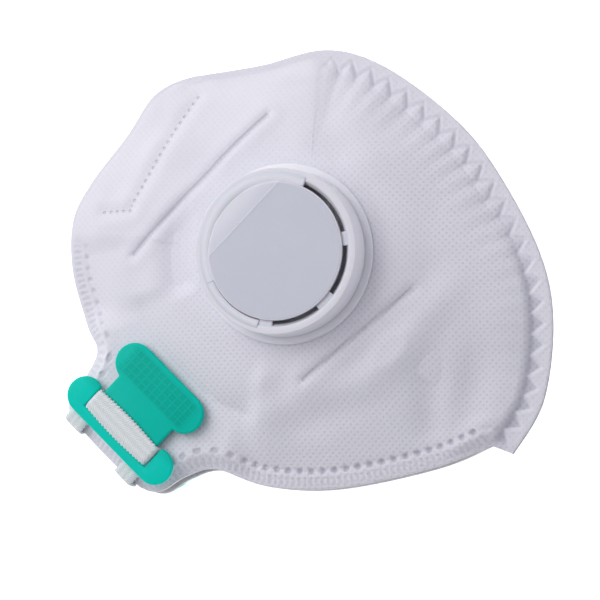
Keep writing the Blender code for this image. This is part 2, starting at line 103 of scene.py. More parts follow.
# Long soft folds: start, end, width, height. Round dents: x, y, width and depth, below 0 for a swell.
FOLDS = [((-46, -12), (-24, -24), 3.4, 0.5), ((-34, -28), (-4, -46), 4.5, 0.8),
         ((28, -38), (-12, -40), 4.5, 1.0), ((14, -50), (-8, -68), 4.0, 0.9), ((32, 14), (28, 42), 5.0, 0.5)]
DENTS = [(32, 24, 9, 1.3), (31, 10, 7, 0.9), (8, -62, 13, 2.3), (-30, -38, 9, 0.8), (-50, 26, 12, 0.5),
         (-8, 46, 9, -0.6), (38, -18, 14, 0.9), (2, -43, 8, -1.5), (-52, 2, 8, 0.6), (47, 4, 8, 0.9),
         (26, -50, 9, -0.9), (-36, -24, 8, -0.8), (14, -50, 8, 0.8), (-2, 36, 6, 0.5)]
# Pressed ribs on the cheek, and the rows of points that close the nose clip's pocket: start and end.
RIB_LINES = [((23.6, 32.8), (-32.0, 33.6)), ((18.3, -33.0), (-22.0, -28.1))]
POCKET_LINES = [((12.0, 52.7), (-21.6, 43.9)), ((-23.6, 43.1), (-29.8, 49.3))]
ZIGZAG_PITCH, ZIGZAG_OUT, ZIGZAG_IN, ZIGZAG_START = 6.3, 2.1, 5.8, 36.0
DOT_PITCH, DOT_IN = 3.6, 4.8
RIB_PITCH, RIB_IN = 1.75, 3.4
EMBOSS_PITCH = 1.36


# ---- curves and grids ----

def smoothstep(x, low=0.0, high=1.0):
    """0 below low, 1 above high, and 3t^2 - 2t^3 between."""
    t = np.clip((x - low) / (high - low), 0, 1)
    return t * t * (3 - 2 * t)


def bump(x, width):
    """A bell: 1 at 0, falling as exp(-(x / width)^2)."""
    return np.exp(-(x / width) ** 2)


def smooth_path(points, per_span=24):
    """Points along a Catmull-Rom curve through these."""
    p = np.array([points[0], *points, points[-1]], float)
    t = np.linspace(0, 1, per_span, endpoint=False)[:, None]
    spans = [b + (c - a) / 2 * t + (a - 2.5 * b + 2 * c - d / 2) * t**2
             + (1.5 * (b - c) + (d - a) / 2) * t**3 for a, b, c, d in zip(p, p[1:], p[2:], p[3:])]
    return np.vstack([*spans, p[-1:]])


def lengths_along(path):
    """Distance travelled from the first point to each point."""
    return np.r_[0, np.cumsum(np.linalg.norm(np.diff(path, axis=0), axis=1))]


def directions(path):
    """The unit vector along a path at each of its points."""
    ahead = np.gradient(path, axis=0)
    return ahead / np.linalg.norm(ahead, axis=1)[:, None]


def evenly(path, count, ends=True):
    """This many points spaced evenly along a path, with or without its last point."""
    steps = lengths_along(path)
    at = np.linspace(0, steps[-1], count, endpoint=ends)
    return np.column_stack([np.interp(at, steps, column) for column in path.T])


def nearest_on(path, x, y):
    """Distance to a polyline, and the arc length of the nearest point: both for arrays of any shape."""
    start, step = path[:-1], np.diff(path, axis=0)
    length = np.linalg.norm(step, axis=1)
    travelled = lengths_along(path)[:-1]
    distance, along = np.empty(x.shape), np.empty(x.shape)
    for row in np.ndindex(x.shape[:-1]):
        dx, dy = x[row][:, None] - start[:, 0], y[row][:, None] - start[:, 1]
        t = np.clip((dx * step[:, 0] + dy * step[:, 1]) / length**2, 0, 1)
        gap = np.hypot(dx - t * step[:, 0], dy - t * step[:, 1])
        best = gap.argmin(1)
        pick = np.arange(len(best))
        distance[row] = gap[pick, best]
        along[row] = travelled[best] + t[pick, best] * length[best]
    return distance, along


def along_line(x, y, start, end):
    """Distance along a straight line from its start, distance across it, and the line's length."""
    (ax, ay), (bx, by) = start, end
    length = math.hypot(bx - ax, by - ay)
    ux, uy = (bx - ax) / length, (by - ay) / length
    x, y = x - ax, y - ay
    return x * ux + y * uy, y * ux - x * uy, length


def grid_faces(rows, columns, wrap=False, flip=False):
    """Quads over a grid of rows x columns points, closed round the columns where wrap is set."""
    i = np.arange(rows - 1)[:, None]
    j = np.arange(columns if wrap else columns - 1)[None, :]
    k = (j + 1) % columns
    quads = np.stack([i * columns + j, i * columns + k, (i + 1) * columns + k, (i + 1) * columns + j], -1)
    quads = quads.reshape(-1, 4)
    return quads[:, ::-1] if flip else quads


def tube_faces(rings, around):
    """Quads round a tube of this many rings of points, and a face over each of its ends."""
    last = rings * around - 1
    ends = [list(range(around)), list(range(last, last - around, -1))]
    return grid_faces(rings, around, wrap=True).tolist() + ends


def piece(name, points, faces, finish, attributes=None):
    """A mesh object from arrays of points (in the maker's millimetres) and faces."""
    mesh = bpy.data.meshes.new(name)
    place = AXIS + np.asarray(points, float).reshape(-1, 3)
    mesh.from_pydata(place * MM, [], faces)
    for key, values in (attributes or {}).items():
        layer = mesh.attributes.new(key, "FLOAT", "POINT")
        layer.data.foreach_set("value", np.asarray(values, np.float32).ravel())
    mesh.shade_smooth()
    mesh.materials.append(finish)
    made = bpy.data.objects.new(name, mesh)
    bpy.context.scene.collection.objects.link(made)
    return made


def joined(*parts):
    """Several (points, faces) shapes as one."""
    points, faces, offset = [], [], 0
    for shape, quads in parts:
        shape = np.asarray(shape, float).reshape(-1, 3)
        points.append(shape)
        faces.extend([corner + offset for corner in face] for face in quads)
        offset += len(shape)
    return np.vstack(points), faces


# ---- shader maths ----

class Finish:
    """A material with one Principled shader, whose constants are set on its own sockets."""

    def __init__(self, name, **constants):
        self.material = bpy.data.materials.new(name)
        self.material.use_nodes = True
        self.tree = self.material.node_tree
        self.shader = self.tree.nodes["Principled BSDF"]
        for socket, value in constants.items():
            self.shader.inputs[socket.replace("_", " ")].default_value = value

    def node(self, kind, settings=None, inputs=None, output=0):
        """A node of this type, its settings set first, then its sockets, given by index or name."""
        made = self.tree.nodes.new(kind)
        for key, value in (settings or {}).items():
            setattr(made, key, value)
        for key, value in (inputs or {}).items():
            if isinstance(value, Value):
                self.tree.links.new(value.socket, made.inputs[key])
            else:
                made.inputs[key].default_value = value
        return Value(self, made.outputs[output])

    def place(self):
        """Object coordinates in millimetres, as three values."""
        spot = self.node("ShaderNodeTexCoord", output=3)
        split = self.node("ShaderNodeSeparateXYZ", inputs={0: spot}).socket.node
        return [Value(self, socket) * 1000 for socket in split.outputs]

    def plan(self):
        """The valve's frame: x and y in millimetres from its axis."""
        x, y, _ = self.place()
        return x - float(AXIS[0]), y - float(AXIS[1])

    def stored(self, key):
        return self.node("ShaderNodeAttribute", {"attribute_name": key}, output=2)

    def noise(self, scale, detail=3.0, vector=None):
        inputs = {"Scale": scale, "Detail": detail}
        inputs["Vector"] = vector if vector else self.node("ShaderNodeTexCoord", output=3)
        return self.node("ShaderNodeTexNoise", inputs=inputs)

    def colour_between(self, first, second, amount):
        settings = {"data_type": "RGBA", "clamp_factor": True}
        return self.node("ShaderNodeMix", settings, {0: amount, 6: (*first, 1), 7: (*second, 1)}, output=2)

    def paint(self, socket, value):
        self.tree.links.new(value.socket, self.shader.inputs[socket])

    def emboss(self, height, distance):
        """A bump whose height is in units of this distance, in metres."""
        inputs = {"Strength": 1.0, "Distance": distance, "Height": height}
        self.paint("Normal", self.node("ShaderNodeBump", inputs=inputs))


class Value:
    """A number from a socket, for arithmetic in the shader."""

    def __init__(self, finish, socket):
        self.finish, self.socket = finish, socket

    def math(self, operation, *others):
        inputs = dict(enumerate((self, *others)))
        return self.finish.node("ShaderNodeMath", {"operation": operation}, inputs)

    def __add__(self, other):
        return self.math("ADD", other)

    def __sub__(self, other):
        return self.math("SUBTRACT", other)

    def __rsub__(self, other):
        return (self * -1) + other

    def __mul__(self, other):
        return self.math("MULTIPLY", other)

    def __truediv__(self, other):
        return self.math("DIVIDE", other)

    __radd__ = __add__

    def fraction(self):
        return self.math("FRACT")

    def size(self):
        return self.math("ABSOLUTE")

    def root(self):
        return self.math("SQRT")

    def wave(self, pitch):
        """A sine of this pitch, from -1 to 1."""
        return (self * (2 * math.pi / pitch)).math("SINE")

    def between(self, low, high):
        """0 below low and 1 above high, with a smooth step between."""
        settings = {"interpolation_type": "SMOOTHSTEP"}
        return self.finish.node("ShaderNodeMapRange", settings, {0: self, 1: low, 2: high})


def embossed(finish, pitch):
    """1 in the round points that bond spunbond fleece, on a square lattice of this pitch along x and y."""
    x, y, _ = finish.place()
    across, along = (x / pitch).fraction() - 0.5, (y / pitch).fraction() - 0.5
    reach = (across * across + along * along).root()
    return 1 - reach.between(0.14, 0.34)


def pressed_rib(finish, start, end):
    """1 along a narrow pressed line."""
    along, across, length = along_line(*finish.plan(), start, end)
    inside = along.between(-0.3, 0.5) * (1 - along.between(length - 0.5, length + 0.3))
    return inside * (1 - across.size().between(0.1, 0.95))


def pressed_points(finish, start, end, pitch):
    """1 in small round points spaced evenly along a line."""
    along, across, length = along_line(*finish.plan(), start, end)
    step = ((along / pitch + 0.5).fraction() - 0.5) * pitch
    spot = 1 - (step * step + across * across).root().between(0.24, 0.54)
    return spot * along.between(-0.9, -0.6) * (1 - along.between(length + 0.6, length + 0.9))


def fleece(name, light, dark, pitch, depth):
    """Bonded fleece: pressed points and welds are smoother and a little darker than the loose fibres, and
    painted shade darkens the seam's pockets and puckers.
    """
    made = Finish(name, Roughness=0.82, Sheen_Weight=0.15, Sheen_Roughness=0.5, Specular_IOR_Level=0.25)
    _, y = made.plan()
    points = embossed(made, pitch) * (1 - y.between(-15, 45) * 0.7)
    fibres = made.noise(1800.0, 4.0)
    clouds = made.noise(45.0, 2.0)
    weld = made.stored("weld")
    open_cloth = 1 - weld
    pressed = pressed_rib(made, *RIB_LINES[0]) + pressed_rib(made, *RIB_LINES[1])
    for line in POCKET_LINES:
        pressed = pressed + pressed_points(made, *line, 2.1)
    uneven = (fibres - 0.5) * 0.14 + (clouds - 0.5) * 0.12
    # The stored weld tone and painted shade: pressed dots, ribs and the zigzag line are darker welds, and the
    # seam's pockets and puckers are darkened as painted shade.
    tone = points * 0.22 * open_cloth + made.stored("weld_tone_and_painted_shade") * 0.75 + pressed * 0.3 + uneven + 0.08
    made.paint("Base Color", made.colour_between(light, dark, tone))
    made.paint("Roughness", 0.86 - weld * 0.18)
    made.emboss(fibres * 0.35 - points * open_cloth * 1.0 - pressed * 3.0 + clouds * 0.2, depth)
    return made.material


def plain_cloth(name, light, dark, scale):
    """Loose fibres with no pattern; the scale says how fine they are."""
    made = Finish(name, Roughness=0.9, Specular_IOR_Level=0.2)
    fibres = made.noise(scale, 5.0)
    made.paint("Base Color", made.colour_between(light, dark, fibres))
    made.emboss(fibres, 0.0004)
    return made.material


def moulded(name, light, dark, roughness, transmission):
    """Injection-moulded polypropylene: satin, with a faint flow pattern and a fine grain."""
    made = Finish(name, Roughness=roughness, Specular_IOR_Level=0.45, IOR=1.49,
                  Subsurface_Weight=transmission, Subsurface_Scale=0.003)
    flow = made.noise(60.0, 2.0)
    grain = made.noise(2500.0, 2.0)
    made.paint("Base Color", made.colour_between(light, dark, flow))
    made.paint("Roughness", roughness - 0.05 + flow * 0.12)
    made.emboss(grain * 0.6 + flow * 0.4, 0.00008)
    return made.material


def lid_plastic():
    """The valve's cap: white at its rim, with painted shade over the hollow under its thin lid, as if the
    dark hollow showed through, fainter beyond the chord.
    """
    made = Finish("valve_cap", Roughness=0.38, Specular_IOR_Level=0.45, Subsurface_Weight=0.1,
                  Subsurface_Scale=0.002)
    x, y = made.plan()
    radius = (x * x + y * y).root()
    grain = made.noise(2500.0, 2.0)
    flow = made.noise(90.0, 3.0)
    inside = 1 - radius.between(18.9, 19.45)
    gate = 1 - radius.between(0.9, 2.1)
    # Painted shade: the lid is made greyer over the hollow beneath it, fainter beyond the chord; the gate
    # term is the lighter gate mark.
    gate_mark_and_painted_shade = made.stored("thin") * inside * (0.86 + flow * 0.28) - gate * 0.08
    made.paint("Base Color", made.colour_between((0.745, 0.735, 0.80), (0.58, 0.59, 0.675), gate_mark_and_painted_shade))
    made.paint("Roughness", 0.34 + flow * 0.1)
    made.emboss(grain * 0.5 + flow * 0.5, 0.00006)
    return made.material


def buckle_plastic():
    """Green polypropylene, deeper where it is welded down in a waffle of small squares, and painted lighter
    at the hook's end as a painted highlight.
    """
    made = Finish("buckle_green", Roughness=0.4, Specular_IOR_Level=0.07, Subsurface_Weight=0.25,
                  Subsurface_Scale=0.0025, Subsurface_Radius=(0.2, 1.0, 0.8))
    x, y, _ = made.place()
    pitch = 2.15
    across, along = (x / pitch).fraction() - 0.5, (y / pitch).fraction() - 0.5
    square = (1 - across.size().between(0.32, 0.44)) * (1 - along.size().between(0.32, 0.44))
    from_plate = (x - float(AXIS[0] + PLATE_X)).size()
    from_middle = (y - float(AXIS[1] + BUCKLE_Y)).size()
    # Painted highlight: the hook's end is made lighter, as if lit.
    hook = 1 - x.between(float(AXIS[0] + HOOK_X) + 2, float(AXIS[0] + HOOK_X) + 5)
    plate = (1 - from_plate.between(3.6, 4.8)) * (1 - from_middle.between(NECK_HALF, NECK_HALF + 3))
    flow = made.noise(120.0, 2.0)
    marks = square * plate
    tone = 0.35 + plate * 0.24 + marks * 0.12 + (flow - 0.5) * 0.2 - hook * 0.35
    made.paint("Base Color", made.colour_between((0.0, 0.62, 0.51), (0.0, 0.36, 0.27), tone))
    made.paint("Roughness", 0.34 + marks * 0.12)
    made.emboss(flow * 0.4 - marks * 0.6, 0.00007)
    return made.material


def woven():
    """Elastic: pale cords along it, crossed by fine threads; u runs across the band and v along it."""
    made = Finish("white_elastic", Roughness=0.88, Sheen_Weight=0.2, Specular_IOR_Level=0.25)
    u, v = made.stored("across"), made.stored("along")
    threads = (v + u.size() * 0.5).wave(0.62) * 0.5 + 0.5
    cords = u.wave(1.9) * 0.5 + 0.5
    fuzz = made.noise(2200.0, 4.0)
    tone = (1 - threads) * 0.22 + (1 - cords) * 0.2 + (fuzz - 0.5) * 0.4
    made.paint("Base Color", made.colour_between((0.84, 0.86, 0.88), (0.42, 0.52, 0.54), tone))
    made.emboss(threads * 0.5 + cords * 0.45 + fuzz * 0.5, 0.00014)
    return made.material


def rubber():
    """Pale unbleached rubber with a fine speckle."""
    made = Finish("flap_rubber", Roughness=0.45, Specular_IOR_Level=0.4)
    speckle = made.noise(900.0, 3.0)
    made.paint("Base Color", made.colour_between((0.72, 0.68, 0.55), (0.60, 0.56, 0.45), speckle))
    made.emboss(speckle, 0.00005)
    return made.material


def clip_metal():
    """Rolled aluminium, with fine lines along x."""
    made = Finish("clip_aluminium", Roughness=0.38, Metallic=1.0)
    x, y, _ = made.place()
    lines = made.node("ShaderNodeCombineXYZ", inputs={0: x * 0.3, 1: y * 6.0})
    brushed = made.noise(1.0, 3.0, lines)
    made.paint("Base Color", made.colour_between((0.78, 0.78, 0.80), (0.62, 0.62, 0.64), brushed))
    made.paint("Roughness", 0.3 + brushed * 0.25)
    return made.material


FLEECE = fleece("cover_fleece", (0.800, 0.790, 0.860), (0.50, 0.49, 0.57), EMBOSS_PITCH, 0.00008)
LINING = fleece("lining_fleece", (0.83, 0.83, 0.86), (0.58, 0.58, 0.62), 1.1, 0.00006)
WADDING = plain_cloth("wadding", (0.88, 0.88, 0.87), (0.74, 0.74, 0.73), 500.0)
FILTER = plain_cloth("filter_web", (0.90, 0.90, 0.90), (0.80, 0.80, 0.81), 900.0)
FOAM = plain_cloth("nose_foam", (0.50, 0.52, 0.55), (0.20, 0.21, 0.23), 1500.0)
# Painted light: the seat and retaining ring are the cap's white plastic, set lighter than the cap's rim to
# offset the shade that the cover casts on the seat.
PAINTED_LIGHTER_WHITE = moulded("valve_white_painted_lighter", (0.88, 0.865, 0.925), (0.81, 0.80, 0.86), 0.4, 0.1)
CAP_PLASTIC = lid_plastic()
GREEN_PLASTIC = buckle_plastic()
ELASTIC = woven()
RUBBER = rubber()
METAL = clip_metal()


# ---- camera, light and floor ----

def aim(made, back, up, distance, target):
    """Turns an object so that it looks along -back, from this distance, with up at the top of its view."""
    back = back / np.linalg.norm(back)
    right = np.cross(up, back)
    right /= np.linalg.norm(right)
    turn = np.column_stack([right, np.cross(back, right), back])
    matrix = np.eye(4)
    matrix[:3, :3] = turn
    matrix[:3, 3] = target + back * distance
    made.matrix_world = Matrix(matrix.tolist())
    bpy.context.scene.collection.objects.link(made)


def light(name, towards, size, power, target, tint=(1, 1, 1)):
    """A round lamp 0.9 m from its target, in this direction from it."""
    lamp = bpy.data.lights.new(name, "AREA")
    lamp.shape = "DISK"
    lamp.size = size
    lamp.energy = power
    lamp.color = tint
    aim(bpy.data.objects.new(name, lamp), np.array(towards, float), np.array([0.3, 1.0, 0.1]), 0.9, target)


def stage():
    """Camera over the mask, its nose to the upper left; a soft key from the nose side; a pale floor."""
    right, up = np.array([1, -1, 0]) / math.sqrt(2), np.array([1, 1, 0]) / math.sqrt(2)
    lean, dip = math.radians(17), math.radians(5)
    back = right * math.sin(lean) - up * math.sin(dip) + np.array([0, 0, math.cos(lean)])
    view_middle = (AXIS + np.array([-8.3, -8.3, 0])) * MM
    lens = bpy.data.cameras.new("camera")
    lens.lens, lens.sensor_width = 600, 36
    lens.clip_start = 0.01
    width = 0.168
    camera = bpy.data.objects.new("camera", lens)
    aim(camera, back, up, width * lens.lens / lens.sensor_width, view_middle)
    bpy.context.scene.camera = camera

    light("key", (-0.05, 1.0, 0.95), 0.8, 4.0, view_middle)
    light("fill", (1.0, -0.6, 0.5), 0.8, 0.7, view_middle, (0.98, 0.98, 1.0))
    light("top", (-0.2, 0.3, 1.0), 0.8, 1.8, view_middle)
    world = bpy.data.worlds.new("studio")
    world.use_nodes = True
    world.node_tree.nodes["Background"].inputs[0].default_value = (0.93, 0.94, 1.0, 1)
    world.node_tree.nodes["Background"].inputs[1].default_value = 0.36
    bpy.context.scene.world = world
    bpy.context.scene.view_settings.view_transform = "Standard"

    side = 2.0
    mesh = bpy.data.meshes.new("floor")
    spots = [(-side, -side, 0), (side, -side, 0), (side, side, 0), (-side, side, 0)]
    mesh.from_pydata(spots, [], [(0, 1, 2, 3)])
    paper = Finish("floor_paper", Roughness=0.9, Emission_Strength=0.7, Emission_Color=(1, 1, 1, 1))
    grain = paper.noise(300.0, 3.0)
    paper.paint("Base Color", paper.colour_between((0.92, 0.92, 0.93), (0.88, 0.88, 0.89), grain))
    mesh.materials.append(paper.material)
    floor = bpy.data.objects.new("floor", mesh)
    bpy.context.scene.collection.objects.link(floor)


# ---- the fabric halves ----

TO_PLAN = np.array([0.99897, 0.99738])
SEAM = smooth_path(SEAM_EDGE) * TO_PLAN
FACE = np.vstack([SEAM[-1:], smooth_path(FACE_EDGE) * TO_PLAN])
TAB_TURN = math.radians(24), math.radians(34)

# How far each layer's outer and inner face lie under the cover's outer face: in millimetres away from the
# welds, and as shares of the stack at a weld.
LAYERS = {
    "outer_cover": (0.0, 0.45, 0.0, 0.3),
    "support_layer": (1.75, 2.35, 0.3, 0.6),
    "filter_layer": (2.65, 3.05, 0.6, 0.8),
    "inner_lining": (3.35, 3.7, 0.8, 1.0),
}


def outline(count):
    """Points round the plan, evenly spaced, starting and ending at the nose."""
    return evenly(np.vstack([SEAM, FACE[1:]]), count, ends=False)


def plan_grid(spokes, inner_rings, edge_rings, hole):
    """Rings from a round hole out to the plan's edge, close together over the last 9 mm."""
    edge = outline(spokes)
    reach = np.hypot(*edge.T)
    inner = np.linspace(0, 1, inner_rings, endpoint=False)[:, None]
    outer = np.linspace(0, 1, edge_rings)[:, None]
    radius = np.vstack([hole + (reach - 9 - hole) * inner, reach - 9 * (1 - outer)])
    return edge[:, 0] / reach * radius, edge[:, 1] / reach * radius


def line_gap(x, y, start, end):
    """How far each point lies from a straight line with round ends."""
    along, across, length = along_line(x, y, start, end)
    return np.hypot(along - np.clip(along, 0, length), across)


def soft_fold(x, y, start, end, width):
    """A long low swell with a dip along its right side, looking from start to end, fading at both ends."""
    along, across, length = along_line(x, y, start, end)
    near, far = smoothstep(along / length, -0.2, 0.3), smoothstep(along / length, 0.7, 1.2)
    fade = near * (1 - far)
    return fade * (bump(across - 0.5 * width, width) - bump(across + 1.1 * width, width))


class Relief:
    """The shape of one half over its plan: height over the fold plane, how far it is welded, and where its
    colour is darkened by welds and by painted shade.
    """

    def __init__(self, x, y):
        self.x, self.y = x, y
        self.radius, self.angle = np.hypot(x, y), np.arctan2(y, x)
        self.from_seam, self.along_seam = nearest_on(SEAM, x, y)
        self.from_face, self.along_face = nearest_on(FACE, x, y)
        self.from_edge = np.minimum(self.from_seam, self.from_face)
        off_tab = np.abs(np.abs(self.angle) - math.pi)
        self.tab = 1 - smoothstep(off_tab, *TAB_TURN)
        self.weld = np.zeros_like(x)
        self.weld_tone_and_painted_shade = np.zeros_like(x)

    def stitched(self):
        """0 along the folded top edge, 1 where the zigzag weld is."""
        return smoothstep(self.along_seam, ZIGZAG_START - 3, ZIGZAG_START + 12)

    def nose(self):
        """1 beside the smooth nose edge, 0 along the welded cheek and jaw."""
        total = lengths_along(FACE)[-1]
        return smoothstep(self.along_face, total - 66, total - 58)

    def smooth_height(self):
        """A shallow dome: flat round the valve, falling to the seam, and to a raised edge at the face."""
        seam, face, r = self.from_seam, self.from_face, self.radius
        face_top = FLANGE_HALF + (EDGE_TOP - FLANGE_HALF) * smoothstep(seam, 0, 16)
        edge = (FLANGE_HALF * face**2 + face_top * seam**2) / (face**2 + seam**2 + 1e-9)
        a = seam - SEAM_WELD * (0.25 + 0.75 * self.stitched())
        b = face - FACE_WELD * (1 - 0.8 * self.nose())
        blend = np.clip(0.5 + (b - a) / 12, 0, 1)
        inside = np.maximum(b + (a - b) * blend - 6 * blend * (1 - blend) * 0.5, 0)
        share = inside / (inside + np.maximum(r - FLAT_RADIUS, 0) + 1e-9)
        on_tab = np.clip((TAB_FLAT - r) / (TAB_FLAT - FLAT_RADIUS), 0, 1)
        share = share + (on_tab - share) * self.tab
        edge = edge + (TAB_TOP - edge) * self.tab * (0.3 + 0.7 * smoothstep(face, 0, 4.5))
        return edge + (CROWN - edge) * (1 - (1 - share) ** 1.7)

    def zigzag(self):
        """The seam's weld: a zigzag groove, puffed-up cloth inside it, pockets in its teeth at the chin, and
        painted shade in those pockets and the puckers.
        """
        s, d = self.along_seam, self.from_seam
        turn = np.abs(2 * ((s / ZIGZAG_PITCH) % 1) - 1)
        line = ZIGZAG_OUT + (ZIGZAG_IN - ZIGZAG_OUT) * turn
        slope = (ZIGZAG_IN - ZIGZAG_OUT) / (ZIGZAG_PITCH / 2)
        past = (d - line) / math.hypot(1, slope)
        groove, lip = bump(past, 0.42), 0.14 * bump(past + 1.0, 0.45)
        chin = smoothstep(s, ZIGZAG_START + 62, ZIGZAG_START + 110)
        soft_puff = 0.85 * (1 - np.exp(-np.maximum(past, 0) / 0.8)) * (1 - smoothstep(d, 6, 20))
        pucker = 0.42 * (0.5 - turn) * smoothstep(d, 4.5, 7) * (1 - smoothstep(d, 8, 19))
        pocket = smoothstep(past, 0, 0.4) * (1 - smoothstep(d, 5.4, 7.2))
        ridge = 2.1 * smoothstep(d, 5.0, 7.6) * (1 - smoothstep(d, 7.8, 22))
        flange = 1 - smoothstep(past, -0.2, 0.5)
        at_chin = ridge + 0.25 * flange - 0.3 * pocket + 0.4 * pucker
        relief = (1 - chin) * (soft_puff + pucker) + chin * at_chin
        apart = smoothstep(self.from_face, 0.5, 3) * self.stitched()
        self.weld = np.maximum(self.weld, apart * np.maximum(0.8 * groove, 0.35 * flange))
        # Painted shade: teeth darkens the puckers at the zigzag's inner corners and pocket darkens the chin's
        # pockets, where shade falls; the groove's share is the weld line's own darker tone.
        teeth = 0.3 * smoothstep(turn, 0.45, 1) * bump(past - 1, 1.3)
        dark = (1 - chin) * (0.35 * groove + teeth) + 0.75 * chin * pocket
        self.weld_tone_and_painted_shade = np.maximum(self.weld_tone_and_painted_shade, apart * dark)
        return apart * (relief + lip - 0.3 * groove)

    def face_weld(self):
        """The other edge's weld: round points inside a band of small cross ribs, and plain at the nose."""
        s, d, nose = self.along_face, self.from_face, self.nose()
        shown = (1 - nose) * (1 - self.tab * 0.2) * smoothstep(self.from_seam, 5, 9)
        across = ((s / DOT_PITCH) % 1 - 0.5) * DOT_PITCH
        cheek = smoothstep(self.y, 15, 30)
        from_dot = np.hypot(across, d - DOT_IN)
        dots = (1 - smoothstep(from_dot, 0.55 - 0.25 * cheek, 1.15 - 0.3 * cheek)) * (1 - 0.5 * cheek)
        ribs = smoothstep(0.5 + 0.5 * np.cos(2 * math.pi * s / RIB_PITCH), 0.35, 0.8)
        ribs *= smoothstep(d, 0.5, 1.1) * (1 - smoothstep(d, 2.7, RIB_IN))
        roll = 0.16 * bump(d - 4.0, 1.2) * (1 - dots)
        self.weld = np.maximum(self.weld, shown * np.maximum(dots, 0.6 * ribs))
        # The dots and ribs darken as welds, in the same store as the seam's painted shade.
        self.weld_tone_and_painted_shade = np.maximum(self.weld_tone_and_painted_shade, shown * np.maximum(dots, 0.5 * ribs))
        return shown * (roll - 0.55 * dots - 0.25 * ribs) - 0.45 * bump(d, 0.9)

    def pressed_lines(self):
        """The soft dip beside each long rib and along the nose clip's pocket."""
        total = np.zeros_like(self.x)
        for start, end in RIB_LINES:
            gap = line_gap(self.x, self.y, start, end)
            total += 0.3 * bump(gap - 2.6, 2.0) - 0.6 * bump(gap, 1.0)
        for start, end in POCKET_LINES:
            gap = line_gap(self.x, self.y, start, end)
            total += 0.25 * bump(gap - 3.2, 2.4) - 0.35 * bump(gap, 1.5)
        return total

    def hollows(self):
        """Soft dents and swells where the cloth has relaxed."""
        x, y, r = self.x, self.y, self.radius
        turn = np.degrees(self.angle) % 360
        valley = bump(r - 33, 4.6) * smoothstep(turn, 100, 128) * (1 - smoothstep(turn, 185, 215))
        total = -2.2 * valley
        for at_x, at_y, width, depth in DENTS:
            total -= depth * bump(np.hypot(x - at_x, y - at_y), width)
        for start, end, width, height in FOLDS:
            total += height * soft_fold(x, y, start, end, width)
        slow = np.sin(x * 0.21 + 1.3 * np.sin(y * 0.13)) * np.sin(y * 0.17 + 1.1 * np.sin(x * 0.11) + 2)
        total += 0.35 * slow
        return total * smoothstep(r, 26.2, 29.5) * smoothstep(self.from_edge, 4, 10) * (1 - 0.8 * self.tab)

    def heights(self, detailed):
        """The outer face's height over the fold plane."""
        z = self.smooth_height() + self.hollows()
        if detailed:
            return np.clip(z + self.zigzag() + self.face_weld() + self.pressed_lines(), 0.45, CROWN)
        clear = 0.55 * (1 - smoothstep(self.from_edge, 7.5, 11))     # clear of the cover's pressed points
        return np.clip(z - clear, 0.36, CROWN)

    def under(self, z, layer, inner):
        """A layer's outer or inner face: the stack closes up towards the welds."""
        full, share = LAYERS[layer][inner], LAYERS[layer][2 + inner]
        thickness = np.where(self.from_seam < self.from_face, 1.0, EDGE_THICKNESS)
        thin = np.minimum(thickness, 0.2 + 0.35 * self.from_seam + 0.35) * share
        thin = np.minimum(thin, (z - 0.27) * share)
        loose = smoothstep(self.from_edge, 4, 15)
        return z - thin - (full - thin) * loose


def half_layer(layer, side_name, side, spokes, inner_rings, edge_rings, hole, finish):
    """One layer of a half as a closed shell: outer face, inner face, walls at the outline and the hole."""
    detailed = layer == "outer_cover"
    x, y = plan_grid(spokes, inner_rings, edge_rings, hole)
    relief = Relief(x, y)
    face = relief.heights(detailed)
    outer = relief.under(face, layer, 0)
    kept_rings = 9 if detailed else len(x)           # the cover's inner face is smooth, and needs few rings
    keep = np.linspace(0, len(x) - 1, kept_rings).round().astype(int)
    keep = np.unique(np.r_[keep, len(x) - 3])
    inner = relief.under(relief.heights(False), layer, 1)[keep]
    if detailed:
        inner -= 0.35 * smoothstep(relief.from_edge[keep], 8, 14)
    rounded = x[-1:] * 1.003, y[-1:] * 1.003, (outer[-1:] + inner[-1:]) / 2
    rows_x = np.vstack([x, rounded[0], x[keep][::-1], x[:1]])
    rows_y = np.vstack([y, rounded[1], y[keep][::-1], y[:1]])
    rows_z = np.vstack([outer, rounded[2], inner[::-1], outer[:1]])
    stored = {key: np.vstack([field, field[-1:], field[keep][::-1]]) for key, field in
              (("weld", relief.weld), ("weld_tone_and_painted_shade", relief.weld_tone_and_painted_shade))}
    rows = len(rows_x) - 1
    points = np.stack([rows_x[:-1], rows_y[:-1], side * rows_z[:-1]], -1)
    quads = grid_faces(rows, spokes, wrap=True, flip=side > 0)
    closing = grid_faces(2, spokes, wrap=True, flip=side > 0)
    closing = np.where(closing < spokes, closing + (rows - 1) * spokes, closing - spokes)
    faces = np.vstack([quads, closing]).tolist()
    made = piece(f"{layer}_{side_name}_visual", points, faces, finish, stored)
    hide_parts(f"{layer}_{side_name}")
    hinge_blend(made)


def hinge_blend(made):
    """Bakes the piece's placement into its mesh."""
    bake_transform(made)


def strip_in_cloth(node, line, width, thickness, side, finish, slot, layer, gap):
    """A flat strip along a line in plan, its upper face this gap below a layer's inner face."""
    path = evenly(smooth_path(line) * TO_PLAN, 60)
    ahead = directions(path)
    across = np.linspace(-width / 2, width / 2, 9)[None]
    x = path[:, :1] - ahead[:, 1:] * across
    y = path[:, 1:] + ahead[:, :1] * across
    relief = Relief(x, y)
    top = relief.under(relief.heights(False), layer, 1) - gap
    low = np.maximum(top - thickness, HINGE_REACH + 0.05)
    top = np.maximum(top, low + 0.1)
    upper, lower = (np.stack([x, y, side * z], -1) for z in (top, low))
    loop = np.concatenate([upper, lower[:, ::-1]], 1)
    made = facing_out(piece(f"{node}_visual", loop, tube_faces(*loop.shape[:2]), finish))
    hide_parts(node)
    hinge_blend(made)
    return made


